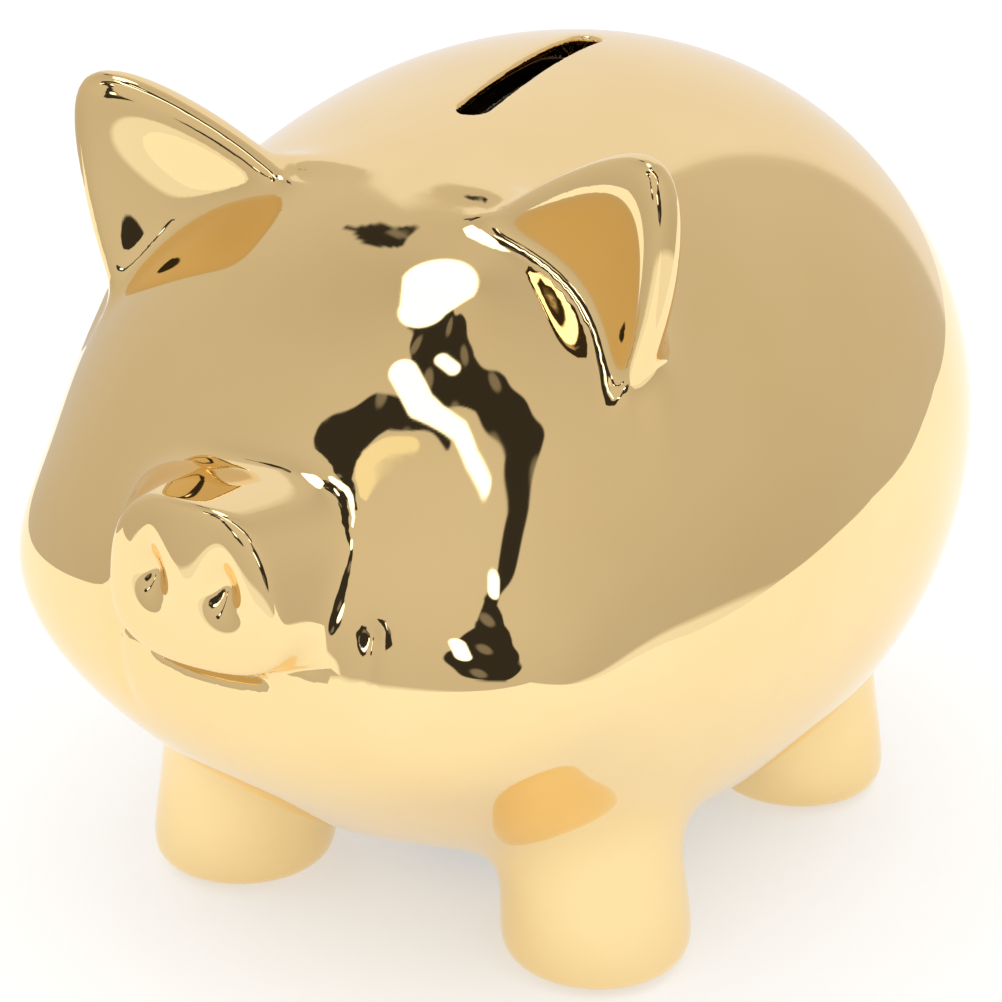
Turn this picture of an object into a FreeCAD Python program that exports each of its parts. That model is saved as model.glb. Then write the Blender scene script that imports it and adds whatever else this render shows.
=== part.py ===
import FreeCAD, Part
import math
import os

from FreeCAD import Matrix, Vector

# Ceramic piggy bank, built the way a hollow ceramic bank is made: a slip-cast shell with solid
# sprigs (snout, ears, legs, tail) luted on before firing, a soft rubber stopper in the belly
# and four foot pads. Millimetres. The pig faces -Y, its left side is +X, it stands on Z = 0.

# ------------------------------------------------------------------ driving dimensions
BARREL_CENTRE = (0.0, 13.3, 56.7)
BARREL_RADII = (56.0, 59.6, 51.7)
BARREL_TILT = 0.27                 # the barrel's rear is raised by this angle, radians
HEAD_CENTRE = (0.0, -22.9, 59.2)
HEAD_RADII = (46.7, 41.6, 40.6)
JOWL_CENTRE = (0.0, -52.0, 54.5)
JOWL_RADII = (38.3, 16.8, 17.4)
HEAD_BLEND = 9.0                   # softness of the neck, where barrel and head run together
JOWL_BLEND = 6.2                   # softness of the cheek line, where head and jowl run together
BELLY_HEIGHT = 9.0                 # the underside is flattened at this height
BELLY_BLEND = 3.0
WALL = 4.0                         # fired wall of the casting

SLOT_LENGTH = 34.0
SLOT_WIDTH = 4.4
SLOT_Y = 5.0                       # middle of the slot along the back

PLUG_Y = 5.0                       # the filling hole's place along the belly
HOLE_RADIUS = 16.0
HOLE_FIT = 0.05                    # radial clearance of the stopper's ribs in the hole
SEAT_RADIUS = 21.6
SEAT_HEIGHT = 11.6                 # the flat seat that the stopper's flange closes on
BOSS_RADIUS = 24.5
BOSS_TOP = 17.0
FLANGE_RADIUS = 21.0
FLANGE_THICKNESS = 1.8
SEAT_GAP = 0.1
PLUG_TOP = 19.0
RIB_WIDTH = 1.2
RIB_COUNT = 3
RIB_DEPTH = 0.7
DISH_RADIUS = 12.0                 # finger dish in the stopper's underside
DISH_DEPTH = 6.5
GRIP_WIDTH = 3.2                   # bar across the dish, to pull on

SNOUT_FRONT = -77.7
SNOUT_BACK = -54.0
SNOUT_HEIGHT = 66.4
SNOUT_FRONT_RADII = (10.8, 10.6)
SNOUT_FLARE = (0.42, 0.03)         # growth of each half-width per millimetre towards the head
SNOUT_EDGE = 1.2
NOSTRIL_X = 4.6
NOSTRIL_HEIGHT = 66.0
NOSTRIL_RADII = (2.1, 3.4, 4.2)

MOUTH_HEIGHT = 54.2
MOUTH_HALF_WIDTH = 19.0
MOUTH_RISE = 6.2                   # the smile's corners stand this much above its middle
MOUTH_GROOVE = 0.8                 # half-width of the incised line
MOUTH_DEPTH = 0.8
DIMPLE_RADIUS = 1.8                # pressed mark at each corner of the smile
EYE_PLACE = (18.0, 76.5)           # the eye's x and z on the face
EYE_RADIUS = 5.0
EYE_DEPTH = 0.45

EAR_INNER_ROOT = (11.5, -29.8, 102.0)
EAR_OUTER_ROOT = (39.3, -38.2, 82.0)
EAR_TIP = (42.9, -42.7, 116.0)
EAR_CORNER = 6.0
EAR_ROOT_DEPTH = 10.0              # how far the plate runs on below the root line
EAR_THICKNESS = 6.0
EAR_CUP_RADIUS = 40.0              # the ear is a piece of a sphere, hollow to the front
EAR_RIM = 1.8

FRONT_LEG = (27.8, -26.5)
REAR_LEG = (29.9, 31.6)
LEG_RADIUS = 13.2
LEG_TOP_RADIUS = 8.4
LEG_TOP = 40.0
LEG_LEAN = 0.9                     # each leg's top leans this far inwards per LEG_LEAN_RUN
LEG_LEAN_RUN = 20.0
LEG_EDGE = 4.5                     # rounding round the sole
SOLE_HEIGHT = 0.6
PAD_RADIUS = 6.5
PAD_THICKNESS = 1.6
PAD_CLEARANCE = 0.2

TAIL_ROOT = (0.0, 61.6, 66.0)
TAIL_TIP_Y = 75.2
TAIL_COIL_RADIUS = 4.6
TAIL_RADIUS = 2.5
TAIL_TURNS = 1.25
UP_TO_REAR = -90.0                 # turn about X that lays the upright coil along the pig

SURFACE_RINGS = 42                 # control rings of the pot's surface, side to side
SURFACE_SPOKES = 64                # control points round each ring
FITTING_ROUNDS = 4                 # times the net is pushed out until its surface meets the form
SURFACE_REACH = 120.0              # longer than any radius of the pot
BISECTIONS = 34
ON_SURFACE = 0.001
NEVER_ZERO = 1e-9
EDGE_SEARCH = 0.01                 # how closely an edge is matched to a height or depth


# ------------------------------------------------------------------ the pot's form
def ellipsoid_gap(point, centre, radii, tilt=0.0):
    """Nearly the distance from an ellipsoid, negative inside it; tilt raises its rear."""
    y = point[1] - centre[1]
    z = point[2] - centre[2]
    turned = (point[0] - centre[0],
              y * math.cos(tilt) + z * math.sin(tilt),
              z * math.cos(tilt) - y * math.sin(tilt))
    size = math.sqrt(sum((t / r) ** 2 for t, r in zip(turned, radii))) + NEVER_ZERO
    steepness = math.sqrt(sum((t / r ** 2) ** 2 for t, r in zip(turned, radii))) + NEVER_ZERO
    return size * (size - 1.0) / steepness


def soft_min(blend, first, second):
    """Smooth union of two gaps: the fillet between them is about as wide as blend."""
    low = min(first, second)
    return low - blend * math.log(math.exp((low - first) / blend) + math.exp((low - second) / blend))


def pot_gap(point):
    """Distance from the outside of the hollow pot: barrel, head and jowl with a flat belly."""
    barrel = ellipsoid_gap(point, BARREL_CENTRE, BARREL_RADII, BARREL_TILT)
    head = ellipsoid_gap(point, HEAD_CENTRE, HEAD_RADII)
    jowl = ellipsoid_gap(point, JOWL_CENTRE, JOWL_RADII)
    form = soft_min(JOWL_BLEND, soft_min(HEAD_BLEND, barrel, head), jowl)
    return -soft_min(BELLY_BLEND, -form, point[2] - BELLY_HEIGHT)


def on_ray(start, direction, depth, reach=SURFACE_REACH):
    """The point along a ray that lies this deep under the pot's surface."""
    near = 0.0
    far = reach
    for _ in range(BISECTIONS):
        middle = (near + far) / 2.0
        point = [s + middle * d for s, d in zip(start, direction)]
        if pot_gap(point) < -depth:
            near = middle
        else:
            far = middle
    return Vector(*[s + near * d for s, d in zip(start, direction)])


def level_tips(poles):
    """Close the net at both flanks: one point, with its neighbours level so that it is smooth."""
    for end, beside in ((0, 1), (-1, -2)):
        tip = poles[end][0]
        poles[end] = [Vector(tip) for _ in poles[end]]
        poles[beside] = [Vector(tip.x, p.y, p.z) for p in poles[beside]]


def net_surface(poles):
    """Cubic surface of a net of control points, closed round each ring."""
    spans = SURFACE_RINGS - 3
    ring_knots = [float(k) for k in range(spans + 1)]
    ring_counts = [4] + [1] * (spans - 1) + [4]
    spoke_knots = [float(k) for k in range(SURFACE_SPOKES + 1)]
    spoke_counts = [1] * (SURFACE_SPOKES + 1)
    surface = Part.BSplineSurface()
    surface.buildFromPolesMultsKnots(
        poles, ring_counts, spoke_counts, ring_knots, spoke_knots, False, True, 3, 3)
    return surface


def pot_solid(depth):
    """Closed solid of the pot's form, this deep under its surface: four smooth quarters that meet
    in lines from flank to flank, clear of the slot, the face and the filling hole."""
    spans = SURFACE_RINGS - 3
    clamped = [0.0] * 3 + [float(k) for k in range(spans + 1)] + [float(spans)] * 3
    places = [sum(clamped[ring + 1:ring + 4]) / 3.0 for ring in range(SURFACE_RINGS)]
    targets = []
    for place in places:
        polar = math.pi * place / spans
        ring = []
        for spoke in range(SURFACE_SPOKES):
            turn = 2.0 * math.pi * spoke / SURFACE_SPOKES
            direction = (math.cos(polar), math.sin(polar) * math.cos(turn), math.sin(polar) * math.sin(turn))
            ring.append(on_ray(BARREL_CENTRE, direction, depth))
        targets.append(ring)
    poles = [list(ring) for ring in targets]
    level_tips(poles)
    for _ in range(FITTING_ROUNDS):
        surface = net_surface(poles)
        for ring, place in enumerate(places):
            for spoke in range(SURFACE_SPOKES):
                on_surface = surface.value(place, (spoke - 1) % SURFACE_SPOKES)
                poles[ring][spoke] = poles[ring][spoke] + targets[ring][spoke] - on_surface
        level_tips(poles)
    quarter = SURFACE_SPOKES / 4.0
    patches = []
    for number in range(4):
        start = quarter * (number + 0.5) - 1.0
        patch = net_surface(poles)
        patch.segment(0.0, float(spans), start, start + quarter)
        patches.append(patch.toShape())
    shell = Part.Shell(patches)
    shell.sewShape()
    solid = Part.Solid(shell)
    if solid.Volume < 0:
        solid.reverse()
    return solid


def ellipsoid(centre, radii):
    """Solid ellipsoid."""
    stretch = Matrix()
    stretch.scale(*radii)
    ball = Part.makeSphere(1.0).transformGeometry(stretch)
    ball.translate(Vector(*centre))
    return ball


def mirrored(shape):
    """The same piece on the pig's right side."""
    return shape.mirror(Vector(0, 0, 0), Vector(1, 0, 0))


# ------------------------------------------------------------------ the pieces
def slot_cutter():
    """Coin slot with round ends, straight down through the back."""
    straight = SLOT_LENGTH - SLOT_WIDTH
    radius = SLOT_WIDTH / 2.0
    bottom = BARREL_CENTRE[2]
    cutter = Part.makeBox(SLOT_WIDTH, straight, SURFACE_REACH, Vector(-radius, SLOT_Y - straight / 2.0, bottom))
    for end in (-1, 1):
        place = Vector(0, SLOT_Y + end * straight / 2.0, bottom)
        cutter = cutter.fuse(Part.makeCylinder(radius, SURFACE_REACH, place))
    return cutter


def smile_tool():
    """Curved strip with round ends, cut straight in to an even depth under the jowl's surface."""
    corner = Vector(MOUTH_HALF_WIDTH, SNOUT_FRONT, MOUTH_HEIGHT + MOUTH_RISE)
    left = Vector(-corner.x, corner.y, corner.z)
    smile = Part.Arc(left, Vector(0, SNOUT_FRONT, MOUTH_HEIGHT), corner).toShape()
    centre = smile.Curve.Center
    heading = (corner - centre).normalize() * MOUTH_GROOVE
    below = smile.copy()
    below.scale(1.0 + MOUTH_GROOVE / smile.Curve.Radius, centre)
    above = smile.copy()
    above.scale(1.0 - MOUTH_GROOVE / smile.Curve.Radius, centre)
    across = Vector(-heading.z, 0, heading.x)
    right_end = Part.Arc(corner + heading, corner + across, corner - heading).toShape()
    left_end = right_end.mirror(Vector(0, 0, 0), Vector(1, 0, 0))
    strip = Part.Face(Part.Wire(Part.sortEdges([below, right_end, above, left_end])[0]))
    strip = strip.extrude(Vector(0, JOWL_CENTRE[1] - SNOUT_FRONT, 0))
    return strip.cut(pot_solid(MOUTH_DEPTH))


def face_marks():
    """Smile line with a pressed dimple at each end, and the two shallow eyes."""
    marks = [smile_tool()]
    for side in (-1, 1):
        start = (side * MOUTH_HALF_WIDTH, JOWL_CENTRE[1], MOUTH_HEIGHT + MOUTH_RISE)
        marks.append(Part.makeSphere(DIMPLE_RADIUS, on_ray(start, (0.0, -1.0, 0.0), 0.0)))
    for side in (-1, 1):
        start = (side * EYE_PLACE[0], HEAD_CENTRE[1], EYE_PLACE[1])
        eye = on_ray(start, (0.0, -1.0, 0.0), 0.0)
        outward = (eye - Vector(*HEAD_CENTRE)).normalize()
        marks.append(Part.makeSphere(EYE_RADIUS, eye + outward * (EYE_RADIUS - EYE_DEPTH)))
    return marks


def make_body_shell(outer):
    """Slip-cast pot: closed wall, a thick boss round the filling hole, and the coin slot."""
    plug_axis = Vector(0, PLUG_Y, 0)
    boss = Part.makeCylinder(BOSS_RADIUS, BOSS_TOP, plug_axis).common(outer)
    cavity = pot_solid(WALL).cut(boss)
    shell = outer.cut(cavity)
    shell = shell.cut(Part.makeCylinder(SEAT_RADIUS, SEAT_HEIGHT, plug_axis))
    shell = shell.cut(Part.makeCylinder(HOLE_RADIUS, BARREL_CENTRE[2], plug_axis))
    shell = shell.cut(slot_cutter())
    for mark in face_marks():
        shell = shell.cut(mark)
    return shell


def snout_wire(y):
    """Outline of the snout's cone at this depth."""
    back = y - SNOUT_FRONT
    across = SNOUT_FRONT_RADII[0] + SNOUT_FLARE[0] * back
    tall = SNOUT_FRONT_RADII[1] + SNOUT_FLARE[1] * back
    centre = Vector(0, y, SNOUT_HEIGHT)
    outline = Part.Ellipse(centre + Vector(across, 0, 0), centre + Vector(0, 0, tall), centre)
    return Part.Wire([outline.toShape()])


def make_snout(outer):
    """Short cone with a flat oval disc and two tall nostrils."""
    cone = Part.makeLoft([snout_wire(SNOUT_BACK), snout_wire(SNOUT_FRONT)], True, True)
    rim = [e for e in cone.Edges if e.BoundBox.YMax < SNOUT_FRONT + EDGE_SEARCH]
    cone = cone.makeFillet(SNOUT_EDGE, rim)
    for side in (-1, 1):
        cone = cone.cut(ellipsoid((side * NOSTRIL_X, SNOUT_FRONT, NOSTRIL_HEIGHT), NOSTRIL_RADII))
    return cone.cut(outer)


def ear_rim_edges(ear, centre):
    """The edges of the ear's front and back faces, which are pieces of two spheres."""
    rims = []
    for edge in ear.Edges:
        middle = edge.valueAt((edge.FirstParameter + edge.LastParameter) / 2.0)
        for radius in (EAR_CUP_RADIUS, EAR_CUP_RADIUS + EAR_THICKNESS):
            points = [v.Point for v in edge.Vertexes] + [middle]
            if all(abs(p.distanceToPoint(centre) - radius) < ON_SURFACE for p in points):
                rims.append(edge)
    return rims


def make_left_ear(outer):
    """Rounded three-cornered ear, cupped to the front, standing across the head."""
    inner_root = Vector(*EAR_INNER_ROOT)
    outer_root = Vector(*EAR_OUTER_ROOT)
    tip = Vector(*EAR_TIP)
    along = (outer_root - inner_root).normalize()
    facing = (outer_root - inner_root).cross(tip - inner_root).normalize()
    down = (along.cross(facing)).normalize() * EAR_ROOT_DEPTH
    if down.z > 0:
        down = down * -1.0
    inset = along * EAR_CORNER
    corners = [inner_root + inset + down, outer_root - inset + down, outer_root - inset,
               tip + (inner_root + outer_root - tip * 2.0).normalize() * EAR_CORNER,
               inner_root + inset]
    outline = Part.makePolygon(corners + [corners[0]]).makeOffset2D(EAR_CORNER, 0)
    middle = (inner_root + outer_root) * 0.5
    plate = Part.Face(outline)
    plate.translate(facing * -EAR_CUP_RADIUS)
    prism = plate.extrude(facing * (2.0 * EAR_CUP_RADIUS))
    centre = (middle + tip) * 0.5 + facing * (EAR_CUP_RADIUS + EAR_THICKNESS / 2.0)
    bowl = Part.makeSphere(EAR_CUP_RADIUS + EAR_THICKNESS, centre).cut(Part.makeSphere(EAR_CUP_RADIUS, centre))
    ear = prism.common(bowl)
    return ear.makeFillet(EAR_RIM, ear_rim_edges(ear, centre)).cut(outer)


def make_left_leg(place, outer):
    """Stubby round leg with a soft-edged sole and a shallow recess for its pad."""
    x, y = place
    leg = Part.makeCone(LEG_RADIUS, LEG_TOP_RADIUS, LEG_TOP - SOLE_HEIGHT, Vector(0, 0, SOLE_HEIGHT))
    sole = [e for e in leg.Edges if e.BoundBox.ZMax < SOLE_HEIGHT + EDGE_SEARCH]
    leg = leg.makeFillet(LEG_EDGE, sole)
    lean = Matrix()
    lean.A13 = -LEG_LEAN / LEG_LEAN_RUN
    leg = leg.transformGeometry(lean)
    recess = Part.makeCylinder(PAD_RADIUS + PAD_CLEARANCE, PAD_THICKNESS)
    leg = leg.cut(recess)
    leg.translate(Vector(x, y, 0))
    return leg.cut(outer)


def make_left_pad(place):
    """Thin round self-adhesive pad under a foot."""
    x, y = place
    return Part.makeCylinder(PAD_RADIUS, PAD_THICKNESS, Vector(x, y, 0))


def make_tail(outer):
    """Curl of one and a quarter turns, standing off the rump, with a round end."""
    root = Vector(*TAIL_ROOT)
    length = TAIL_TIP_Y - root.y
    helix = Part.makeHelix(length / TAIL_TURNS, length, TAIL_COIL_RADIUS)
    start = helix.Edges[0].valueAt(helix.Edges[0].FirstParameter)
    heading = helix.Edges[0].tangentAt(helix.Edges[0].FirstParameter)
    section = Part.Wire([Part.Circle(start, heading, TAIL_RADIUS).toShape()])
    curl = Part.Wire(helix.Edges).makePipeShell([section], True, True)
    end = helix.Edges[-1].valueAt(helix.Edges[-1].LastParameter)
    curl = curl.fuse(Part.makeSphere(TAIL_RADIUS, end))
    curl.rotate(Vector(0, 0, 0), Vector(1, 0, 0), UP_TO_REAR)
    curl.translate(root)
    return curl.cut(outer)


def make_stopper():
    """One-piece rubber plug: flange, ribbed neck, and a finger dish with a bar across it."""
    seat = SEAT_HEIGHT - SEAT_GAP
    bottom = seat - FLANGE_THICKNESS
    rib_radius = HOLE_RADIUS - HOLE_FIT
    core_radius = rib_radius - RIB_DEPTH
    plug = Part.makeCylinder(FLANGE_RADIUS, FLANGE_THICKNESS, Vector(0, 0, bottom))
    lip = [e for e in plug.Edges if e.BoundBox.ZMax < bottom + EDGE_SEARCH]
    plug = plug.makeFillet(FLANGE_THICKNESS / 2.0, lip)
    neck = Part.makeCylinder(core_radius, PLUG_TOP - seat, Vector(0, 0, seat))
    top = [e for e in neck.Edges if e.BoundBox.ZMin > PLUG_TOP - EDGE_SEARCH]
    plug = plug.fuse(neck.makeChamfer(RIB_DEPTH, top))
    spacing = (BOSS_TOP - SEAT_HEIGHT) / RIB_COUNT
    for rib in range(RIB_COUNT):
        height = seat + SEAT_GAP + spacing * (rib + 0.5) - RIB_WIDTH / 2.0
        plug = plug.fuse(Part.makeCylinder(rib_radius, RIB_WIDTH, Vector(0, 0, height)))
    dish = Part.makeCylinder(DISH_RADIUS, DISH_DEPTH, Vector(0, 0, bottom))
    bar = Part.makeBox(2.0 * DISH_RADIUS, GRIP_WIDTH, DISH_DEPTH,
                       Vector(-DISH_RADIUS, -GRIP_WIDTH / 2.0, bottom))
    plug = plug.cut(dish.cut(bar)).removeSplitter()
    plug.translate(Vector(0, PLUG_Y, 0))
    return plug


# ------------------------------------------------------------------ assembly
def make_pieces():
    """Every piece of the bank by name."""
    outer = pot_solid(0.0)
    pieces = {"body_shell": make_body_shell(outer), "snout": make_snout(outer), "tail": make_tail(outer)}
    left_ear = make_left_ear(outer)
    pieces["left_ear"] = left_ear
    pieces["right_ear"] = mirrored(left_ear)
    for row, place in (("front", FRONT_LEG), ("rear", REAR_LEG)):
        leg = make_left_leg(place, outer)
        pad = make_left_pad(place)
        pieces[row + "_left_leg"] = leg
        pieces[row + "_right_leg"] = mirrored(leg)
        pieces[row + "_left_pad"] = pad
        pieces[row + "_right_pad"] = mirrored(pad)
    pieces["stopper"] = make_stopper()
    return pieces


def main():
    os.makedirs("parts", exist_ok=True)
    whole = FreeCAD.BoundBox()
    for name, shape in make_pieces().items():
        box = shape.optimalBoundingBox(False, False)
        whole.add(box)
        print("%-16s %s solids %d volume %.0f  x %.1f %.1f  y %.1f %.1f  z %.1f %.1f" % (
            name, "valid" if shape.isValid() else "INVALID", len(shape.Solids), shape.Volume,
            box.XMin, box.XMax, box.YMin, box.YMax, box.ZMin, box.ZMax))
        shape.exportStep("parts/" + name + ".step")
    print("whole", whole)


main()
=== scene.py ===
import math

import bpy
import numpy as np
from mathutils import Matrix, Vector


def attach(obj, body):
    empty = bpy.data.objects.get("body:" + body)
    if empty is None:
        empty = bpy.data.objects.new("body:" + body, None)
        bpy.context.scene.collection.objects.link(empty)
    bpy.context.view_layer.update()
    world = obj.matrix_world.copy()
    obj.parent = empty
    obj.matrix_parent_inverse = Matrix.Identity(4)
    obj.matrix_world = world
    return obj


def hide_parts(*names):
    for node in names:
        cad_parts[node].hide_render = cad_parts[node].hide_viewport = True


# Gold-plated ceramic piggy bank. The form is a soft blend of a few solids, written as a signed gap
# in millimetres: negative inside the ceramic. The pig faces -Y, its left is +X, it stands on Z = 0.

MM = 0.001
NEVER_ZERO = 1e-9

# ---------------------------------------------------------------- sizes of the pig, millimetres
# The pot's solids: centre, radii and how far the rear is raised, in radians.
BARREL = ((0.0, 13.3, 56.7), (56.0, 59.6, 51.7), 0.27)
HEAD = ((0.0, -22.9, 59.2), (46.7, 41.6, 40.6), 0.0)
JOWL = ((0.0, -52.0, 54.5), (38.3, 16.8, 17.4), 0.0)
HEAD_BLEND = 9.0
JOWL_BLEND = 6.2
BELLY_HEIGHT = 9.0
BELLY_BLEND = 3.0
WALL = 4.0

SLOT_LENGTH = 34.0
SLOT_WIDTH = 4.4
SLOT_Y = 5.0
SLOT_RIM = 0.3

# The filling hole, the seat for the stopper's flange and the thick boss round them.
PLUG_Y = 5.0
HOLE_RADIUS = 16.0
SEAT_RADIUS = 21.6
SEAT_HEIGHT = 11.6
BOSS_RADIUS = 24.5
BOSS_TOP = 17.0

# How wide the fillets are where things meet; the seam's rounding is at the mirror plane, in square mm.
SPRIG_BLEND = 0.9
EAR_BACK_BLEND = 1.4
LEG_BLEND = 2.6
TAIL_BLEND = 1.2
CAVITY_BLEND = 0.8
WALL_BLEND = 0.4
HOLE_RIM = 0.25
SEAM_ROUNDING = 0.3

# The snout: radii are (across, up); the flare is how much each grows for a millimetre back, and the widening
# how much the first grows for a millimetre down. A nostril is its (x, z) and its (half width, half height).
SNOUT_FRONT = -77.7
SNOUT_LENGTH = 24.0
SNOUT_HEIGHT = 66.4
SNOUT_RADII = (10.8, 10.9)
SNOUT_FLARE = (0.42, 0.03)
SNOUT_WIDENING = 0.12
SNOUT_TILT = 0.08
SNOUT_SQUARENESS = 2.8
SNOUT_EDGE = 0.45
SNOUT_BULGE = 1.6
NOSTRIL = ((4.9, 67.4), (1.9, 3.3))
NOSTRIL_DEPTH = 2.2
NOSTRIL_LEAN = 0.18
NOSTRIL_HALO = (0.35, 2.0)

# Marks in the face: places are (x, z), and grooves, pits and folds are (depth, width).
FACE_FADE = (48.0, 56.0)
MOUTH_HEIGHT = 55.2
MOUTH_HALF_WIDTH = 15.5
MOUTH_RISE = 1.5
MOUTH_DRIFT = 0.04
MOUTH_GROOVE = (0.4, 0.6)
LIP_X = -1.0
LIP_HEIGHT = 53.7
LIP_HALF_WIDTH = 8.5
LIP_RISE = 0.8
LIP_GROOVE = (1.3, 0.8)
DIMPLES = ((19.6, 61.2), (-15.2, 54.6))
DIMPLE_PIT = (0.5, 1.1)
DIMPLE_FOLD = (0.25, 1.1)
FOLD_LENGTH = 14.0
FOLD_BEND = 0.012
EYE = (18.0, 76.5)
EYE_RADIUS = 4.0
EYE_DEPTH = 0.07

# The left ear, which the right one mirrors.
EAR_INNER_ROOT = (11.5, -29.8, 102.0)
EAR_OUTER_ROOT = (39.3, -38.2, 82.0)
EAR_TIP = (45.0, -44.4, 122.2)
EAR_CORNER = 6.7
EAR_ROOT_DEPTH = 5.0
EAR_THICKNESS = 7.0
EAR_CUP = 4.6
EAR_LIP = 6.0
EAR_HOLLOW = 1.3
EAR_EDGE = 1.8
EAR_ROOT_CUT = 1.0
EAR_ROOT_EDGE = 1.0

# Left legs' soles at (x, y). A leg narrows upwards by its taper, and leans inwards.
FRONT_LEG = (27.8, -26.5)
REAR_LEG = (29.9, 31.6)
LEG_RADIUS = 13.4
LEG_TAPER = -0.13
LEG_LEAN = 0.045
LEG_TOP = 42.0
LEG_EDGE = 2.0
SOLE_HEIGHT = 0.6
PAD_RADIUS = 6.5
PAD_THICKNESS = 1.6
PAD_ROOM = 0.2

TAIL_ROOT = (0.0, 61.6, 66.0)
TAIL_TIP_Y = 75.2
TAIL_COIL_RADIUS = 4.6
TAIL_RADIUS = 2.5
TAIL_TAPER = 0.9
TAIL_TURNS = 1.25
TAIL_STEPS = 22
TAIL_ROOT_DEPTH = 6.0

FLANGE_RADIUS = 21.0
FLANGE_BOTTOM = 9.7
FLANGE_TOP = 11.5
PLUG_RADIUS = 15.25
RIB_RADIUS = 15.95
RIB_HEIGHTS = (12.5, 14.3, 16.1)
RIB_HALF_HEIGHT = 0.62
RING_RADIUS = 18.2
PLUG_TOP = 19.0
PLUG_CHAMFER = (0.8, 1.2)
DISH_RADIUS = 12.0
DISH_TOP = 16.2
GRIP_WIDTH = 3.2

# Edge lengths of the meshes.
SKIN_GRID = 1.5
STOPPER_GRID = 0.6
PAD_GRID = 0.6
MARK_SIZE = 0.45
EAR_SIZE = 0.85
RIM_SIZE = 0.8
PAD_RIM_SIZE = 0.5
NO_SPLIT = 9.0


# ---------------------------------------------------------------- working with gaps
def soft_min(blend, *gaps):
    """Smooth union: the fillet where two gaps meet is about as wide as blend."""
    low = np.minimum.reduce(gaps)
    return low - blend * np.log(sum(np.exp((low - gap) / blend) for gap in gaps))


def soft_max(blend, *gaps):
    """Smooth intersection."""
    return -soft_min(blend, *[-gap for gap in gaps])


def step_up(value, low, high):
    """0 below low, 1 above high, smooth between."""
    t = np.clip((value - low) / (high - low), 0.0, 1.0)
    return t * t * (3.0 - 2.0 * t)


def hump(value, width):
    """Bell curve, 1 at zero."""
    return np.exp(-(value / width) ** 2)


def groove(off, shape):
    """How deep a soft groove is at that distance from its middle; its shape is its depth and width."""
    depth, width = shape
    return depth * hump(off, width)


def ellipsoid_gap(x, y, z, centre, radii, tilt):
    """Nearly the distance from an ellipsoid whose rear is raised by the tilt, in radians."""
    y, z = y - centre[1], z - centre[2]
    a = (x - centre[0]) / radii[0]
    b = (y * math.cos(tilt) + z * math.sin(tilt)) / radii[1]
    c = (z * math.cos(tilt) - y * math.sin(tilt)) / radii[2]
    inner = np.sqrt(a * a + b * b + c * c) + NEVER_ZERO
    slope = np.sqrt((a / radii[0]) ** 2 + (b / radii[1]) ** 2 + (c / radii[2]) ** 2) + NEVER_ZERO
    return inner * (inner - 1.0) / slope


def tube_gap(x, y, z, points, radii):
    """Tapering tube along a line of points."""
    gap = None
    for start, end, thick, thin in zip(points, points[1:], radii, radii[1:]):
        run = [e - s for s, e in zip(start, end)]
        off = [p - s for p, s in zip((x, y, z), start)]
        share = np.clip(sum(o * r for o, r in zip(off, run)) / sum(r * r for r in run), 0.0, 1.0)
        far = np.sqrt(sum((o - share * r) ** 2 for o, r in zip(off, run)))
        piece = far - (thick + (thin - thick) * share)
        gap = piece if gap is None else np.minimum(gap, piece)
    return gap


# ---------------------------------------------------------------- the pig's form
def pot_gap(x, y, z):
    """The hollow pot: barrel, head and jowl run together over a flat belly."""
    form = soft_min(HEAD_BLEND, ellipsoid_gap(x, y, z, *BARREL), ellipsoid_gap(x, y, z, *HEAD))
    form = soft_min(JOWL_BLEND, form, ellipsoid_gap(x, y, z, *JOWL))
    return soft_max(BELLY_BLEND, form, BELLY_HEIGHT - z)


def face_marks(x, y, z):
    """How deep the modeller's tool went in: smile, lower lip, a dimple and a fold at each end, and eyes."""
    share = np.clip(np.abs(x) / MOUTH_HALF_WIDTH, 0.0, 1.1)
    smile_off = z - MOUTH_HEIGHT - MOUTH_RISE * share ** 2 - MOUTH_DRIFT * x
    smile = groove(smile_off, MOUTH_GROOVE) * step_up(1.05 - share, 0.0, 0.25)
    share = np.abs(x - LIP_X) / LIP_HALF_WIDTH
    lip_off = z - LIP_HEIGHT - LIP_RISE * share ** 2
    lip = groove(lip_off, LIP_GROOVE) * step_up(1.1 - share, 0.0, 0.4)
    marks = smile + lip
    for across, up in DIMPLES:
        pit = groove(np.hypot(x - across, (z - up) * 0.65), DIMPLE_PIT)
        bend = across - math.copysign(FOLD_BEND, across) * (z - up + 4.0) ** 2
        foot = step_up(z, up - FOLD_LENGTH, up - FOLD_LENGTH + 8.0)
        fold = groove(x - bend, DIMPLE_FOLD) * foot * step_up(up - z, 0.0, 3.0)
        marks = marks + pit + fold
    round_eye = np.hypot(np.abs(x) - EYE[0], (z - EYE[1]) * 0.9) / EYE_RADIUS
    marks = marks + EYE_DEPTH * np.exp(-round_eye ** 4)
    return step_up(-y, *FACE_FADE) * marks


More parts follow.
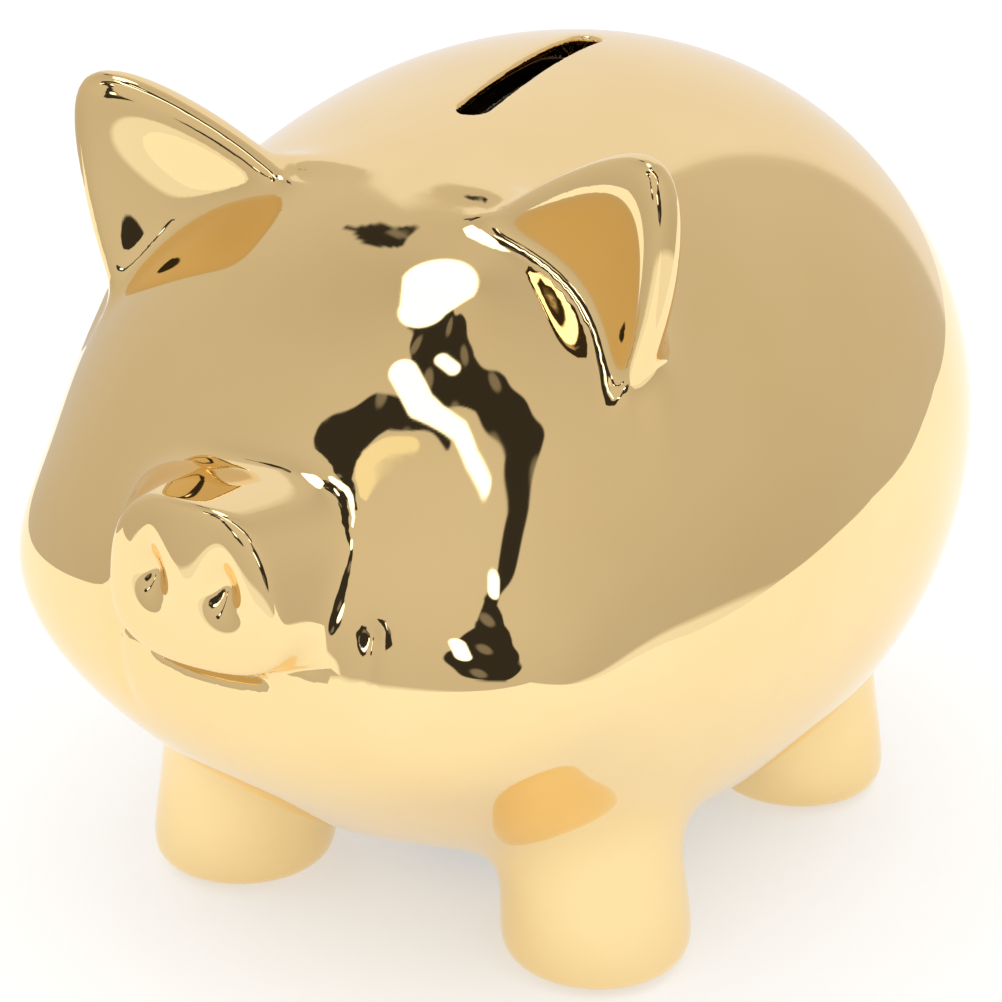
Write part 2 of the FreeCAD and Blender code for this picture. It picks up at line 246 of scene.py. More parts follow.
def snout_gap(x, y, z):
    """Blunt snout: a slightly bulging face with a crisp edge, wider at the lip, and two tall nostrils."""
    back = y - SNOUT_FRONT
    down = SNOUT_HEIGHT - z
    across = SNOUT_RADII[0] + SNOUT_FLARE[0] * back + SNOUT_WIDENING * down
    tall = SNOUT_RADII[1] + SNOUT_FLARE[1] * back
    side = np.abs(x) / across
    up = np.abs(down) / tall
    outline = (side ** SNOUT_SQUARENESS + up ** SNOUT_SQUARENESS + NEVER_ZERO) ** (1.0 / SNOUT_SQUARENESS)
    sides = (outline - 1.0) * np.minimum(across, tall) * 0.9
    (place_x, place_z), (half_width, half_height) = NOSTRIL
    lean = NOSTRIL_LEAN * (z - place_z) / half_height
    reach = np.hypot((np.abs(x) - place_x) / (half_width * (1.0 - lean)), (z - place_z) / half_height)
    hole = groove(reach, (NOSTRIL_DEPTH, 1.0)) + groove(reach, NOSTRIL_HALO)
    bulge = SNOUT_BULGE * (np.minimum(side, 1.5) ** 2 + np.minimum(up, 1.5) ** 2)
    return soft_max(SNOUT_EDGE, sides, SNOUT_TILT * down + bulge - back + hole, back - SNOUT_LENGTH)


def ear_axes():
    """Middle of the ear's root line, its directions along the root, up and forward, and half its width."""
    inner, outer, tip = (np.array(p) for p in (EAR_INNER_ROOT, EAR_OUTER_ROOT, EAR_TIP))
    width = np.linalg.norm(outer - inner)
    along = (outer - inner) / width
    facing = np.cross(outer - inner, tip - inner)
    facing = facing / np.linalg.norm(facing)
    up = np.cross(facing, along)
    return (inner + outer) / 2.0, along, up, facing, width / 2.0


def ear_gap(x, y, z):
    """Left ear: a bent three-cornered plate, hollow in front with a thick rolled lip.
    Also gives how far forward of the plate's middle each point is."""
    middle, along, up, facing, half = ear_axes()
    u, v, w = ((x - middle[0]) * a[0] + (y - middle[1]) * a[1] + (z - middle[2]) * a[2]
               for a in (along, up, facing))
    reach = np.array(EAR_TIP) - middle
    tip_u, tip_v = reach @ along, reach @ up
    outer_side = ((u - half) * tip_v - v * (tip_u - half)) / math.hypot(tip_u - half, tip_v)
    inner_side = -((u + half) * tip_v - v * (tip_u + half)) / math.hypot(tip_u + half, tip_v)
    outer_corner = (u - half - v) / math.sqrt(2.0) - EAR_ROOT_CUT
    outline = soft_max(EAR_CORNER, outer_side, inner_side, -v - EAR_ROOT_DEPTH - 4.0)
    outline = soft_max(EAR_ROOT_EDGE, outline, outer_corner, -v - EAR_ROOT_DEPTH)
    spread = (u / half) ** 2 + ((v - 0.35 * tip_v) / (0.8 * tip_v)) ** 2
    bent = w + EAR_CUP * (1.0 - np.minimum(spread, 2.0))
    sheet = soft_max(EAR_CORNER, outer_side, inner_side)
    front = bent - EAR_THICKNESS / 2.0 + EAR_HOLLOW * (1.0 - hump(np.minimum(sheet + 2.0, 0.0), EAR_LIP))
    back = -bent - EAR_THICKNESS / 2.0
    return soft_max(EAR_EDGE, outline, front, back), bent


def leg_gap(x, y, z, place):
    """Stub leg: leans in a little, round-edged sole with a shallow recess for its pad."""
    off = np.hypot(x - place[0] + LEG_LEAN * z, y - place[1])
    leg = soft_max(LEG_EDGE, off - LEG_RADIUS - LEG_TAPER * z, SOLE_HEIGHT - z, z - LEG_TOP)
    recess = np.maximum(np.hypot(x - place[0], y - place[1]) - PAD_RADIUS - PAD_ROOM, z - PAD_THICKNESS)
    return leg, recess


def tail_points():
    """The curl's centre line, from inside the rump to its round tip."""
    length = TAIL_TIP_Y - TAIL_ROOT[1]
    points = [(TAIL_COIL_RADIUS, TAIL_ROOT[1] - TAIL_ROOT_DEPTH, TAIL_ROOT[2])]
    for step in range(TAIL_STEPS + 1):
        share = step / TAIL_STEPS
        turn = 2.0 * math.pi * TAIL_TURNS * share
        points.append((TAIL_COIL_RADIUS * math.cos(turn), TAIL_ROOT[1] + length * share,
                       TAIL_ROOT[2] - TAIL_COIL_RADIUS * math.sin(turn)))
    return points


def outside_gap(x, y, z):
    """The pig's outer form with everything that is luted on and pressed in."""
    ax = np.sqrt(x * x + SEAM_ROUNDING)
    gap = pot_gap(x, y, z) + face_marks(x, y, z)
    gap = soft_min(SPRIG_BLEND, gap, snout_gap(x, y, z))
    ear, bent = ear_gap(ax, y, z)
    gap = soft_min(SPRIG_BLEND + EAR_BACK_BLEND * step_up(-bent, -1.0, 5.0), gap, ear)
    recesses = []
    for place in (FRONT_LEG, REAR_LEG):
        leg, recess = leg_gap(ax, y, z, place)
        gap = soft_min(LEG_BLEND, gap, leg)
        recesses.append(recess)
    points = tail_points()
    thickness = [TAIL_RADIUS + TAIL_TAPER]
    thickness += [TAIL_RADIUS - TAIL_TAPER * step / TAIL_STEPS for step in range(TAIL_STEPS + 1)]
    gap = soft_min(TAIL_BLEND, gap, tube_gap(x, y, z, points, thickness))
    for recess in recesses:
        gap = np.maximum(gap, -recess)
    return gap


def slot_gap(x, y):
    """The coin slot's outline from above: straight sides with round ends."""
    half = (SLOT_LENGTH - SLOT_WIDTH) / 2.0
    return np.hypot(x, np.maximum(np.abs(y - SLOT_Y) - half, 0.0)) - SLOT_WIDTH / 2.0


def ceramic_gap(x, y, z):
    """The finished casting: hollow, with the coin slot and the filling hole."""
    off = np.hypot(x, y - PLUG_Y)
    boss = soft_max(CAVITY_BLEND, off - BOSS_RADIUS, z - BOSS_TOP)
    cavity = soft_max(CAVITY_BLEND, pot_gap(x, y, z) + WALL, -boss)
    gap = soft_max(WALL_BLEND, outside_gap(x, y, z), -cavity)
    middle = BARREL[0][2]
    gap = soft_max(SLOT_RIM, gap, -np.maximum(slot_gap(x, y), middle - z))
    seat = np.maximum(off - SEAT_RADIUS, z - SEAT_HEIGHT)
    hole = np.maximum(off - HOLE_RADIUS, z - middle)
    return soft_max(HOLE_RIM, gap, -seat, -hole)


def stopper_gap(x, y, z):
    """Rubber stopper: flange with a rounded lip, ribbed neck, finger dish with a bar across."""
    off = np.hypot(x, y - PLUG_Y)
    flange = soft_max(0.3, off - FLANGE_RADIUS, FLANGE_BOTTOM - z, z - FLANGE_TOP)
    chamfer, chamfer_height = PLUG_CHAMFER
    neck_radius = PLUG_RADIUS - chamfer * step_up(z, PLUG_TOP - chamfer_height, PLUG_TOP)
    neck = soft_max(0.2, off - neck_radius, z - PLUG_TOP, FLANGE_TOP - 1.0 - z)
    plug = soft_min(0.15, flange, neck)
    for height in RIB_HEIGHTS:
        lip = (z - height) / RIB_HALF_HEIGHT
        rib = np.maximum(off - RIB_RADIUS + 0.5 * lip * lip, np.abs(z - height) - RIB_HALF_HEIGHT)
        plug = np.minimum(plug, np.maximum(rib, PLUG_RADIUS - 3.0 - off))
    ring = groove(off - RING_RADIUS, (0.25, 0.45)) * step_up(-z, -FLANGE_TOP, -FLANGE_BOTTOM)
    dish = soft_max(0.5, off - DISH_RADIUS, z - DISH_TOP)
    beside = np.abs(y - PLUG_Y) - GRIP_WIDTH / 2.0
    bar = soft_max(0.6, beside, off - DISH_RADIUS - 1.0, FLANGE_BOTTOM + 0.2 - z)
    dish = soft_max(0.5, dish, -bar)
    return soft_max(0.3, plug + ring, -dish)


# ---------------------------------------------------------------- from a gap to a mesh
def gap_mesh(gap, low, high, size):
    """Quads of the surface gap = 0 on a grid of that size: one corner in each grid cell it crosses."""
    axes = [np.arange(a - size, b + 2.0 * size, size) for a, b in zip(low, high)]
    grid = np.stack(np.meshgrid(*axes, indexing="ij"), -1)
    value = np.stack([gap(*np.moveaxis(layer, -1, 0)) for layer in grid])
    inside = value < 0.0
    cells = tuple(n - 1 for n in value.shape)
    total = np.zeros(cells + (3,))
    count = np.zeros(cells)
    crossings = []
    for axis in range(3):
        near = [slice(None)] * 3
        far = [slice(None)] * 3
        near[axis] = slice(None, -1)
        far[axis] = slice(1, None)
        near, far = tuple(near), tuple(far)
        hit = inside[near] != inside[far]
        where = np.argwhere(hit)
        v0, v1 = value[near][hit], value[far][hit]
        place = grid[near][hit].copy()
        place[:, axis] += size * v0 / (v0 - v1)
        others = [a for a in range(3) if a != axis]
        for one in (0, -1):
            for two in (0, -1):
                cell = where.copy()
                cell[:, others[0]] += one
                cell[:, others[1]] += two
                np.add.at(total, tuple(cell.T), place)
                np.add.at(count, tuple(cell.T), 1.0)
        crossings.append((axis, others, where, inside[near][hit]))
    used = count > 0
    number = np.full(cells, -1)
    number[used] = np.arange(used.sum())
    corners = total[used] / count[used][:, None]
    quads = []
    for axis, others, where, started_inside in crossings:
        ring = []
        for one, two in ((0, 0), (-1, 0), (-1, -1), (0, -1)):
            cell = where.copy()
            cell[:, others[0]] += one
            cell[:, others[1]] += two
            ring.append(number[tuple(cell.T)])
        quad = np.stack(ring, -1)
        flip = started_inside if axis != 1 else ~started_inside
        quad[~flip] = quad[~flip][:, ::-1]
        quads.append(quad)
    return corners, np.concatenate(quads)


def slope_of(gap, points, reach=0.04):
    """Direction in which the gap grows."""
    slope = np.zeros_like(points)
    for axis in range(3):
        ahead, behind = points.copy(), points.copy()
        ahead[:, axis] += reach
        behind[:, axis] -= reach
        slope[:, axis] = (gap(*ahead.T) - gap(*behind.T)) / (2.0 * reach)
    return slope


def settle(gap, points, rounds, limit):
    """Move points onto the surface gap = 0, never by more than limit a round."""
    for _ in range(rounds):
        slope = slope_of(gap, points)
        steep = np.maximum((slope ** 2).sum(-1), 0.05)
        move = -gap(*points.T)[:, None] * slope / steep[:, None]
        far = np.linalg.norm(move, axis=-1, keepdims=True)
        points = points + move * np.minimum(1.0, limit / np.maximum(far, NEVER_ZERO))
    return points


def even_out(points, triangles, share):
    """Move each point some way towards the middle of its neighbours."""
    ends = np.concatenate([triangles[:, [0, 1]], triangles[:, [1, 2]], triangles[:, [2, 0]]])
    total = np.zeros_like(points)
    count = np.zeros(len(points))
    for a, b in ((0, 1), (1, 0)):
        np.add.at(total, ends[:, a], points[ends[:, b]])
        np.add.at(count, ends[:, a], 1.0)
    return points + share * (total / count[:, None] - points)


def split_long(points, triangles, wanted):
    """Halve every edge that is longer than is wanted where it lies, and split its triangles to match."""
    edges = np.sort(np.stack([triangles, np.roll(triangles, -1, axis=1)], -1).reshape(-1, 2), axis=1)
    unique, back = np.unique(edges, axis=0, return_inverse=True)
    back = back.reshape(-1, 3)
    middle = points[unique].mean(axis=1)
    length = np.linalg.norm(points[unique[:, 0]] - points[unique[:, 1]], axis=1)
    cut = length > 1.5 * wanted(*middle.T)
    number = np.full(len(unique), -1)
    number[cut] = len(points) + np.arange(cut.sum())
    points = np.concatenate([points, middle[cut]])
    mid = number[back]
    marked = (mid >= 0).sum(axis=1)
    done = [triangles[marked == 0]]
    for turn in range(3):
        a, b, c = (triangles[:, (turn + k) % 3] for k in range(3))
        ab, bc, ca = (mid[:, (turn + k) % 3] for k in range(3))
        one = (marked == 1) & (ab >= 0)
        done.append(np.stack([a, ab, c], -1)[one])
        done.append(np.stack([ab, b, c], -1)[one])
        two = (marked == 2) & (ca < 0)
        done.append(np.stack([b, bc, ab], -1)[two])
        done.append(np.stack([a, ab, bc], -1)[two])
        done.append(np.stack([a, bc, c], -1)[two])
    a, b, c = triangles[marked == 3].T
    ab, bc, ca = mid[marked == 3].T
    for three in ((a, ab, ca), (ab, b, bc), (ca, bc, c), (ab, bc, ca)):
        done.append(np.stack(three, -1))
    return points, np.concatenate(done)


def make_object(name, points, faces, normals=None):
    """Mesh object from points in millimetres, smooth, with the form's own normals where given."""
    mesh = bpy.data.meshes.new(name)
    mesh.from_pydata((points * MM).tolist(), [], faces.tolist())
    mesh.polygons.foreach_set("use_smooth", [True] * len(faces))
    mesh.update()
    if normals is not None:
        mesh.normals_split_custom_set_from_vertices(normals.tolist())
    made = bpy.data.objects.new(name, mesh)
    bpy.context.scene.collection.objects.link(made)
    return made


def form_object(name, gap, low, high, size, wanted=None, splits=0):
    """A closed piece from its gap: meshed, evened out, split finer where wanted, with true normals."""
    points, quads = gap_mesh(gap, low, high, size)
    first = np.linalg.norm(points[quads[:, 0]] - points[quads[:, 2]], axis=1)
    second = np.linalg.norm(points[quads[:, 1]] - points[quads[:, 3]], axis=1)
    short = (first <= second)[:, None]
    triangles = np.concatenate([np.where(short, quads[:, [0, 1, 2]], quads[:, [0, 1, 3]]),
                                np.where(short, quads[:, [0, 2, 3]], quads[:, [1, 2, 3]])])
    points = settle(gap, points, 2, size / 2.0)
    for _ in range(2):
        points = settle(gap, even_out(points, triangles, 0.5), 1, size / 2.0)
    for _ in range(splits):
        points, triangles = split_long(points, triangles, wanted)
        points = settle(gap, points, 2, size / 4.0)
    slope = slope_of(gap, points)
    normals = slope / np.maximum(np.linalg.norm(slope, axis=1, keepdims=True), NEVER_ZERO)
    return make_object(name, points, triangles, normals), points, triangles


def skin_size(x, y, z):
    """Edge length wanted on the pig: fine at the slot, the face's marks, the ears, the hole and the pads."""
    wanted = np.full(x.shape, NO_SPLIT)
    wanted = np.where((np.abs(slot_gap(x, y)) < 1.4) & (z > 90.0), MARK_SIZE, wanted)
    wanted = np.where((face_marks(x, y, z) > 0.06) & (y < -50.0), MARK_SIZE, wanted)
    disc = (y < SNOUT_FRONT + 7.0) & (np.abs(snout_gap(x, y, z)) < 0.6)
    wanted = np.where(disc, MARK_SIZE, wanted)
    ear, _ = ear_gap(np.abs(x), y, z)
    wanted = np.where(np.abs(ear) < 1.2, EAR_SIZE, wanted)
    off = np.hypot(x, y - PLUG_Y)
    rims = (np.abs(off - SEAT_RADIUS) < 0.8) | (np.abs(off - HOLE_RADIUS) < 0.8)
    wanted = np.where(rims & (z < PLUG_TOP), RIM_SIZE, wanted)
    for place in (FRONT_LEG, REAR_LEG):
        off = np.hypot(np.abs(x) - place[0], y - place[1])
        rim = (np.abs(off - PAD_RADIUS - PAD_ROOM) < 1.5) & (z < 3.5)
        wanted = np.where(rim, PAD_RIM_SIZE, wanted)
    return wanted


# ---------------------------------------------------------------- materials
def new_material(name):
    """A node material, its tree and its Principled shader."""
    material = bpy.data.materials.new(name)
    material.use_nodes = True
    tree = material.node_tree
    return material, tree, tree.nodes["Principled BSDF"]


def add_node(tree, kind, **settings):
    """A node with its properties, or the default values of its inputs, set."""
    node = tree.nodes.new(kind)
    for key, value in settings.items():
        if key in node.inputs:
            node.inputs[key].default_value = value
        else:
            setattr(node, key, value)
    return node


def noise(tree, scale, detail=2.0, roughness=0.5):
    """Noise in the piece's own coordinates; scale is in waves per metre."""
    place = add_node(tree, "ShaderNodeTexCoord")
    wave = add_node(tree, "ShaderNodeTexNoise", Scale=scale, Detail=detail, Roughness=roughness)
    tree.links.new(place.outputs["Object"], wave.inputs["Vector"])
    return wave.outputs["Fac"]


def ramp(tree, fac, stops):
    """Colour ramp fed by fac; stops are (position, colour)."""
    node = add_node(tree, "ShaderNodeValToRGB")
    elements = node.color_ramp.elements
    while len(elements) < len(stops):
        elements.new(0.5)
    for element, (position, colour) in zip(elements, stops):
        element.position = position
        element.color = tuple(colour) + (1.0,)
    tree.links.new(fac, node.inputs["Fac"])
    return node.outputs["Color"]


def bump(tree, shader, height, strength, distance):
    """Fine relief in the shader; distance is in metres."""
    node = add_node(tree, "ShaderNodeBump", Strength=strength, Distance=distance)
    tree.links.new(height, node.inputs["Height"])
    tree.links.new(node.outputs["Normal"], shader.inputs["Normal"])


def gold_material():
    """Bright plating over glaze: mirror gold, faintly wavy and cloudy as fired lustre is."""
    material, tree, shader = new_material("gold_plate")
    shader.inputs["Metallic"].default_value = 1.0
    shader.inputs["IOR"].default_value = 1.5
    colour = ramp(tree, noise(tree, 38.0, 3.0), ((0.3, (0.93, 0.70, 0.345)), (0.7, (0.965, 0.745, 0.385))))
    tree.links.new(colour, shader.inputs["Base Color"])
    rough = ramp(tree, noise(tree, 90.0, 4.0), ((0.35, (0.012,) * 3), (0.75, (0.04,) * 3)))
    tree.links.new(rough, shader.inputs["Roughness"])
    bump(tree, shader, noise(tree, 55.0, 1.0), 0.16, 0.0006)
    return material


def bisque_material():
    """Bare fired clay, seen inside the bank."""
    material, tree, shader = new_material("bisque")
    colour = ramp(tree, noise(tree, 240.0, 5.0), ((0.3, (0.50, 0.42, 0.33)), (0.7, (0.62, 0.54, 0.44))))
    tree.links.new(colour, shader.inputs["Base Color"])
    shader.inputs["Roughness"].default_value = 0.9
    bump(tree, shader, noise(tree, 900.0, 4.0), 0.3, 0.0003)
    return material


def rubber_material():
    """Soft black stopper rubber, slightly dusty."""
    material, tree, shader = new_material("stopper_rubber")
    colour = ramp(tree, noise(tree, 160.0, 4.0), ((0.3, (0.045, 0.045, 0.05)), (0.7, (0.075, 0.075, 0.08))))
    tree.links.new(colour, shader.inputs["Base Color"])
    rough = ramp(tree, noise(tree, 300.0, 3.0), ((0.3, (0.45,) * 3), (0.7, (0.6,) * 3)))
    tree.links.new(rough, shader.inputs["Roughness"])
    bump(tree, shader, noise(tree, 1500.0, 3.0), 0.15, 0.0001)
    return material


def felt_material():
    """Brown felt: short matted fibres."""
    material, tree, shader = new_material("pad_felt")
    fibres = noise(tree, 2600.0, 6.0, 0.8)
    colour = ramp(tree, fibres, ((0.3, (0.22, 0.17, 0.12)), (0.7, (0.38, 0.31, 0.24))))
    tree.links.new(colour, shader.inputs["Base Color"])
    shader.inputs["Roughness"].default_value = 0.95
    shader.inputs["Sheen Weight"].default_value = 0.4
    bump(tree, shader, fibres, 0.8, 0.0004)
    return material


# ---------------------------------------------------------------- the stage
# Things round the pig that its gold mirrors, and one strip of painted shade, each a ribbon of (compass
# direction, height, half width) in degrees. The direction is zero straight ahead of the pig and 90 at its
# left.
STAND_AND_PAINTED_SHADE = (
    ((8, 76, 6), (22, 65, 7), (43, 59, 5), (54, 47, 4.5), (53, 38, 3), (46, 31, 2), (40, 26, 2),
     (38, 15, 6), (35, 0, 13)),
    ((26, 50, 0.6), (12, 54, 2.6), (1, 54, 4), (-9, 49, 4.5), (-14, 44, 5), (-8, 38, 5), (-2, 33, 2.4),
     (-1, 25, 2), (-1, 15, 2.4), (-1, 2, 4)),
    # The last ribbon is painted shade: a dark strip standing in for the ear's shadow as seen in the gold.
    ((-110, 57, 1.2), (-112, 68, 3.2)))
LAMPS = (
    ((-58, 85, 8), (-20, 79, 5)),
    ((1, 63, 3.4), (13, 57, 3.2), (21, 55, 2.4), (31, 52, 2), (36, 47, 1.6), (41, 43, 1.3)),
    ((-16, 37, 1.8), (-12, 39, 1.2)),
    ((-1, 37, 1.2), (0, 36, 1.2)),
    ((0, 10, 1.4), (0, 7, 1.4)),
    ((26, 7, 2.5), (27, 1, 2.5)),
    ((43, 32, 1.8), (42, 29, 1.8)),
    ((19, 68, 1.6), (26, 66, 1.6)))
WINDOW = ((-3, 45, 1.4), (5, 47, 2.2), (13, 48, 1.6))

# Brightness of each of them, and of the wall, the white sweep behind the pig and the table below it.
WALL_GLOW = (0.64, 0.60, 0.56)
SWEEP_GLOW = (0.90, 0.88, 0.90)
TABLE_GLOW = (0.96, 0.96, 0.96)
STAND_AND_PAINTED_SHADE_TINT = (1.0, 0.92, 0.85)
LAMP_GLOW = (2.5, 2.55, 2.8)
WINDOW_GLOW = (1.0, 0.95, 0.78)
SWEEP_DIRECTION = 201.0
TENT_RADIUS = 600.0
TENT_CENTRE = (0.0, 0.0, 60.0)

# The paper on the table that the gold mirrors, in metres; past its edge the gold mirrors the tent.
SHEET = ((-0.29, -0.20), (0.20, -0.18), (0.153, 0.0), (0.186, 0.08), (0.235, 0.19), (0.27, 0.4),
         (0.27, 1.2), (-0.29, 1.2))
PAPER_REACH = 30.0
PAPER_DROP = 0.0002

# The camera, in metres, degrees and millimetres of lens.
CAMERA_TARGET = (-0.0098, 0.0144, 0.0400)
CAMERA_DISTANCE = 0.4562
CAMERA_AZIMUTH = 29.44
CAMERA_HEIGHT = 23.0
CAMERA_LENS = 115.0
CAMERA_SHIFT = 0.0144


def unit(az, el):
    """Direction as a vector."""
    az, el = np.radians(az), np.radians(el)
    return np.stack([np.cos(el) * np.sin(az), -np.cos(el) * np.cos(az), np.sin(el)], -1)


def ribbon(direction, line):
    """Degrees outside a ribbon, negative inside it."""
    nearest = None
    for (az0, el0, wide0), (az1, el1, wide1) in zip(line, line[1:]):
        start = unit(az0, el0)
        run = unit(az1, el1) - start
        share = np.clip((direction - start) @ run / (run @ run), 0.0, 1.0)
        off = np.linalg.norm(direction - start - share[..., None] * run, axis=-1)
        outside = np.degrees(off) - (wide0 + (wide1 - wide0) * share)
        nearest = outside if nearest is None else np.minimum(nearest, outside)
    return nearest


def waves(az, el, across, up):
    """A wave over the tent, -1 to 1, with that many swings round it and up it."""
    return np.sin(np.radians(az * across + el * up))


def glow(az, el):
    """Brightness and warmth of the studio seen in the gold, by compass direction and height in degrees."""
    soft = 0.06 * np.sin(np.radians(az * 2.0 + 40.0)) + 0.05 * waves(az, el, 0.0, 3.0)
    colour = (1.0 + soft)[..., None] * np.array(WALL_GLOW)
    behind = np.abs((az - SWEEP_DIRECTION + 180.0) % 360.0 - 180.0)
    sweep = step_up(-behind, -34.0, -30.0) * step_up(-el, -64.0, -56.0)
    table = step_up(-el, 20.0, 22.0)
    ragged = 0.5 * waves(az, el, 23.0, 11.0) + 0.4 * waves(az, el, -9.0, 37.0)
    glints = step_up(waves(az, el, 17.0, 9.0) * waves(az, el, -5.0, 14.0), 0.6, 0.9)
    shade = (0.035 + 0.2 * glints)[..., None] * np.array(STAND_AND_PAINTED_SHADE_TINT)
    direction = unit(az, el)
    parts = [(sweep, np.array(SWEEP_GLOW)), (table, np.array(TABLE_GLOW))]
    # Dark ribbons: the stand, and one strip of painted shade for the ear's shadow seen in the gold.
    for line in STAND_AND_PAINTED_SHADE:
        parts.append((step_up(-ribbon(direction, line) + ragged, -0.3, 0.3), shade))
    for line in LAMPS:
        parts.append((step_up(-ribbon(direction, line), -0.4, 0.4), np.array(LAMP_GLOW)))
    parts.append((step_up(-ribbon(direction, WINDOW), -0.3, 0.3), np.array(WINDOW_GLOW)))
    for share, paint in parts:
        colour += share[..., None] * (paint - colour)
    return colour


def studio_tent():
    """Dome round the pig, seen only in the gold. Its mesh is fine where the stand and lamps are."""
    az = np.concatenate([np.arange(-30.0, 66.0, 0.4), np.arange(66.0, 330.0, 2.0)])
    el = np.concatenate([np.arange(-60.0, -12.0, 2.0), np.arange(-12.0, 90.1, 0.4)])
    az, el = np.meshgrid(az, el, indexing="ij")
    points = unit(az, el).reshape(-1, 3) * TENT_RADIUS + np.array(TENT_CENTRE)
    index = np.arange(az.size).reshape(az.shape)
    ahead = np.roll(index, -1, axis=0)
    faces = np.stack([index[:, :-1], ahead[:, :-1], ahead[:, 1:], index[:, 1:]], -1).reshape(-1, 4)
    made = make_object("studio_tent", points, faces)
    colours = made.data.color_attributes.new("glow", "FLOAT_COLOR", "POINT")
    shade = glow(az, el).reshape(-1, 3)
    colours.data.foreach_set("color", np.concatenate([shade, np.ones((len(shade), 1))], 1).ravel())
    material, tree, shader = new_material("tent_glow")
    tree.nodes.remove(shader)
    paint = add_node(tree, "ShaderNodeVertexColor", layer_name="glow")
    light = add_node(tree, "ShaderNodeEmission", Strength=1.0)
    tree.links.new(paint.outputs["Color"], light.inputs["Color"])
    tree.links.new(light.outputs["Emission"], tree.nodes["Material Output"].inputs["Surface"])
    made.data.materials.append(material)
    only_in_reflections(made)
    return made


def only_in_reflections(made):
    """Hide it from the camera and from everything that isn't gloss."""
    made.visible_camera = False
    made.visible_diffuse = False
    made.visible_transmission = False
    made.visible_shadow = False


def floor_plane(name, outline, height, material):
    """Flat sheet at that height; outline and height are in metres."""
    corners = np.array([(x, y, height) for x, y in outline]) / MM
    made = make_object(name, corners, np.array([range(len(outline))]))
    made.data.materials.append(material)
    return made


def sun_light(name, towards, spread, strength):
    """Soft even light from one direction that the gold doesn't mirror."""
    data = bpy.data.lights.new(name, "SUN")
    data.angle = math.radians(spread)
    data.energy = strength
    made = bpy.data.objects.new(name, data)
    made.rotation_euler = Vector(towards).to_track_quat("Z", "Y").to_euler()
    made.visible_glossy = False
    bpy.context.scene.collection.objects.link(made)


def build_stage():
    """White paper under and round the pig, the tent, a white world and two soft suns."""
    material, _, shader = new_material("paper")
    shader.inputs["Base Color"].default_value = (0.55, 0.55, 0.55, 1.0)
    shader.inputs["Emission Color"].default_value = (1.0, 1.0, 1.0, 1.0)
    shader.inputs["Emission Strength"].default_value = 0.48
    shader.inputs["Roughness"].default_value = 1.0
    shader.inputs["Specular IOR Level"].default_value = 0.0
    sheet = floor_plane("paper_sheet", SHEET, 0.0, material)
    far = PAPER_REACH
    square = ((-far, -far), (far, -far), (far, far), (-far, far))
    around = floor_plane("paper_around", square, -PAPER_DROP, material)
    around.visible_glossy = False
    studio_tent()
    world = bpy.data.worlds.new("studio")
    bpy.context.scene.world = world
    world.use_nodes = True
    world.node_tree.nodes["Background"].inputs["Color"].default_value = (1.0, 1.0, 1.0, 1.0)
    world.node_tree.nodes["Background"].inputs["Strength"].default_value = 1.0
    sun_light("key", (0.35, -0.35, 1.0), 35.0, 0.35)
    sun_light("fill", (-0.6, -0.3, 0.9), 50.0, 0.15)


def aim_camera():
    """Three-quarter view from the pig's front left, a little above."""
    az, el = math.radians(CAMERA_AZIMUTH), math.radians(CAMERA_HEIGHT)
    away = Vector((math.sin(az) * math.cos(el), -math.cos(az) * math.cos(el), math.sin(el)))
    data = bpy.data.cameras.new("camera")
    data.lens = CAMERA_LENS
    data.shift_y = CAMERA_SHIFT
    data.clip_start = 0.01
    made = bpy.data.objects.new("camera", data)
    made.location = Vector(CAMERA_TARGET) + away * CAMERA_DISTANCE
    made.rotation_euler = (-away).to_track_quat("-Z", "Y").to_euler()
    bpy.context.scene.collection.objects.link(made)
    bpy.context.scene.camera = made


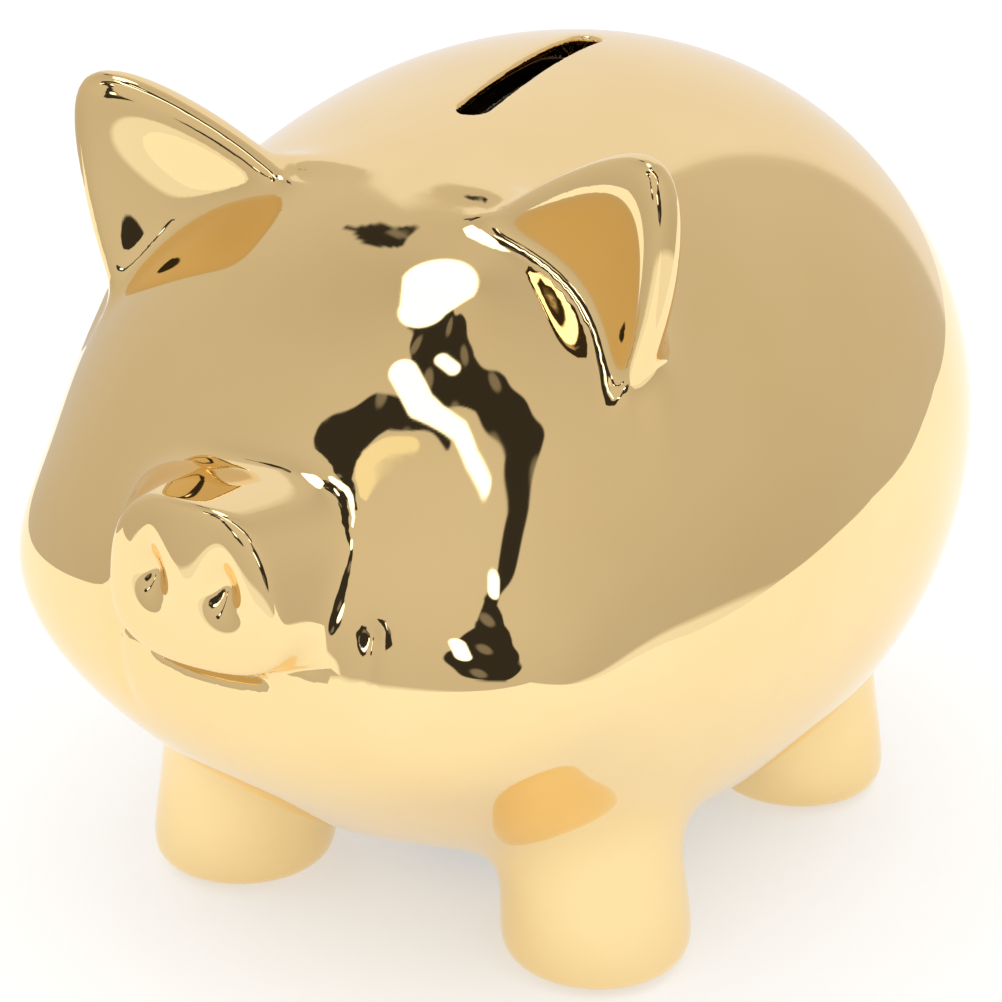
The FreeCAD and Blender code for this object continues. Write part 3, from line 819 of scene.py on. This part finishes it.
# ---------------------------------------------------------------- the pieces
def build_skin():
    """The plated casting: one closed, hollow piece, gold outside and bare inside."""
    low, high = (-59.0, -80.0, 0.0), (59.0, 80.0, 120.0)
    skin, points, triangles = form_object("plated_casting", ceramic_gap, low, high, SKIN_GRID, skin_size, 2)
    skin.data.materials.append(gold_material())
    skin.data.materials.append(bisque_material())
    middle = points[triangles].mean(axis=1)
    inside = pot_gap(*middle.T) < -WALL + 0.5
    skin.data.polygons.foreach_set("material_index", inside.astype(np.int32))
    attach(skin, "bank")
    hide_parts("body_shell", "snout", "left_ear", "right_ear", "tail", "front_left_leg",
                "front_right_leg", "rear_left_leg", "rear_right_leg")


def build_stopper():
    """The rubber stopper, pressed into the belly."""
    low, high = (-22.0, PLUG_Y - 22.0, 9.0), (22.0, PLUG_Y + 22.0, 20.0)
    stopper, _, _ = form_object("rubber_stopper", stopper_gap, low, high, STOPPER_GRID)
    stopper.data.materials.append(rubber_material())
    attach(stopper, "stopper")
    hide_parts("stopper")


def build_pads():
    """Felt discs with a soft cut edge."""
    felt = felt_material()
    for row, place in (("front", FRONT_LEG), ("rear", REAR_LEG)):
        for side, sign in (("left", 1.0), ("right", -1.0)):
            def pad_gap(x, y, z, place=place, sign=sign):
                off = np.hypot(x - sign * place[0], y - place[1])
                return soft_max(0.15, off - PAD_RADIUS, -z, z - PAD_THICKNESS + 0.02)
            low = (sign * place[0] - 7.5, place[1] - 7.5, -0.5)
            high = (sign * place[0] + 7.5, place[1] + 7.5, 2.2)
            pad, _, _ = form_object(row + "_" + side + "_felt", pad_gap, low, high, PAD_GRID)
            pad.data.materials.append(felt)
            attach(pad, "bank")
            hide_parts(row + "_" + side + "_pad")


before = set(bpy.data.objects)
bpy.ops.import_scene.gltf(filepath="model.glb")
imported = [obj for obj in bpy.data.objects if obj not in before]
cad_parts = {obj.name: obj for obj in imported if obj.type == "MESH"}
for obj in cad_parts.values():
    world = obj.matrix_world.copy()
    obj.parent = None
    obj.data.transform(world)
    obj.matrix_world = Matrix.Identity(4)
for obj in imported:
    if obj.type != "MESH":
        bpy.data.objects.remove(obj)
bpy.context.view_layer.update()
build_skin()
build_stopper()
build_pads()
build_stage()
aim_camera()
bpy.context.scene.view_settings.view_transform = "Standard"
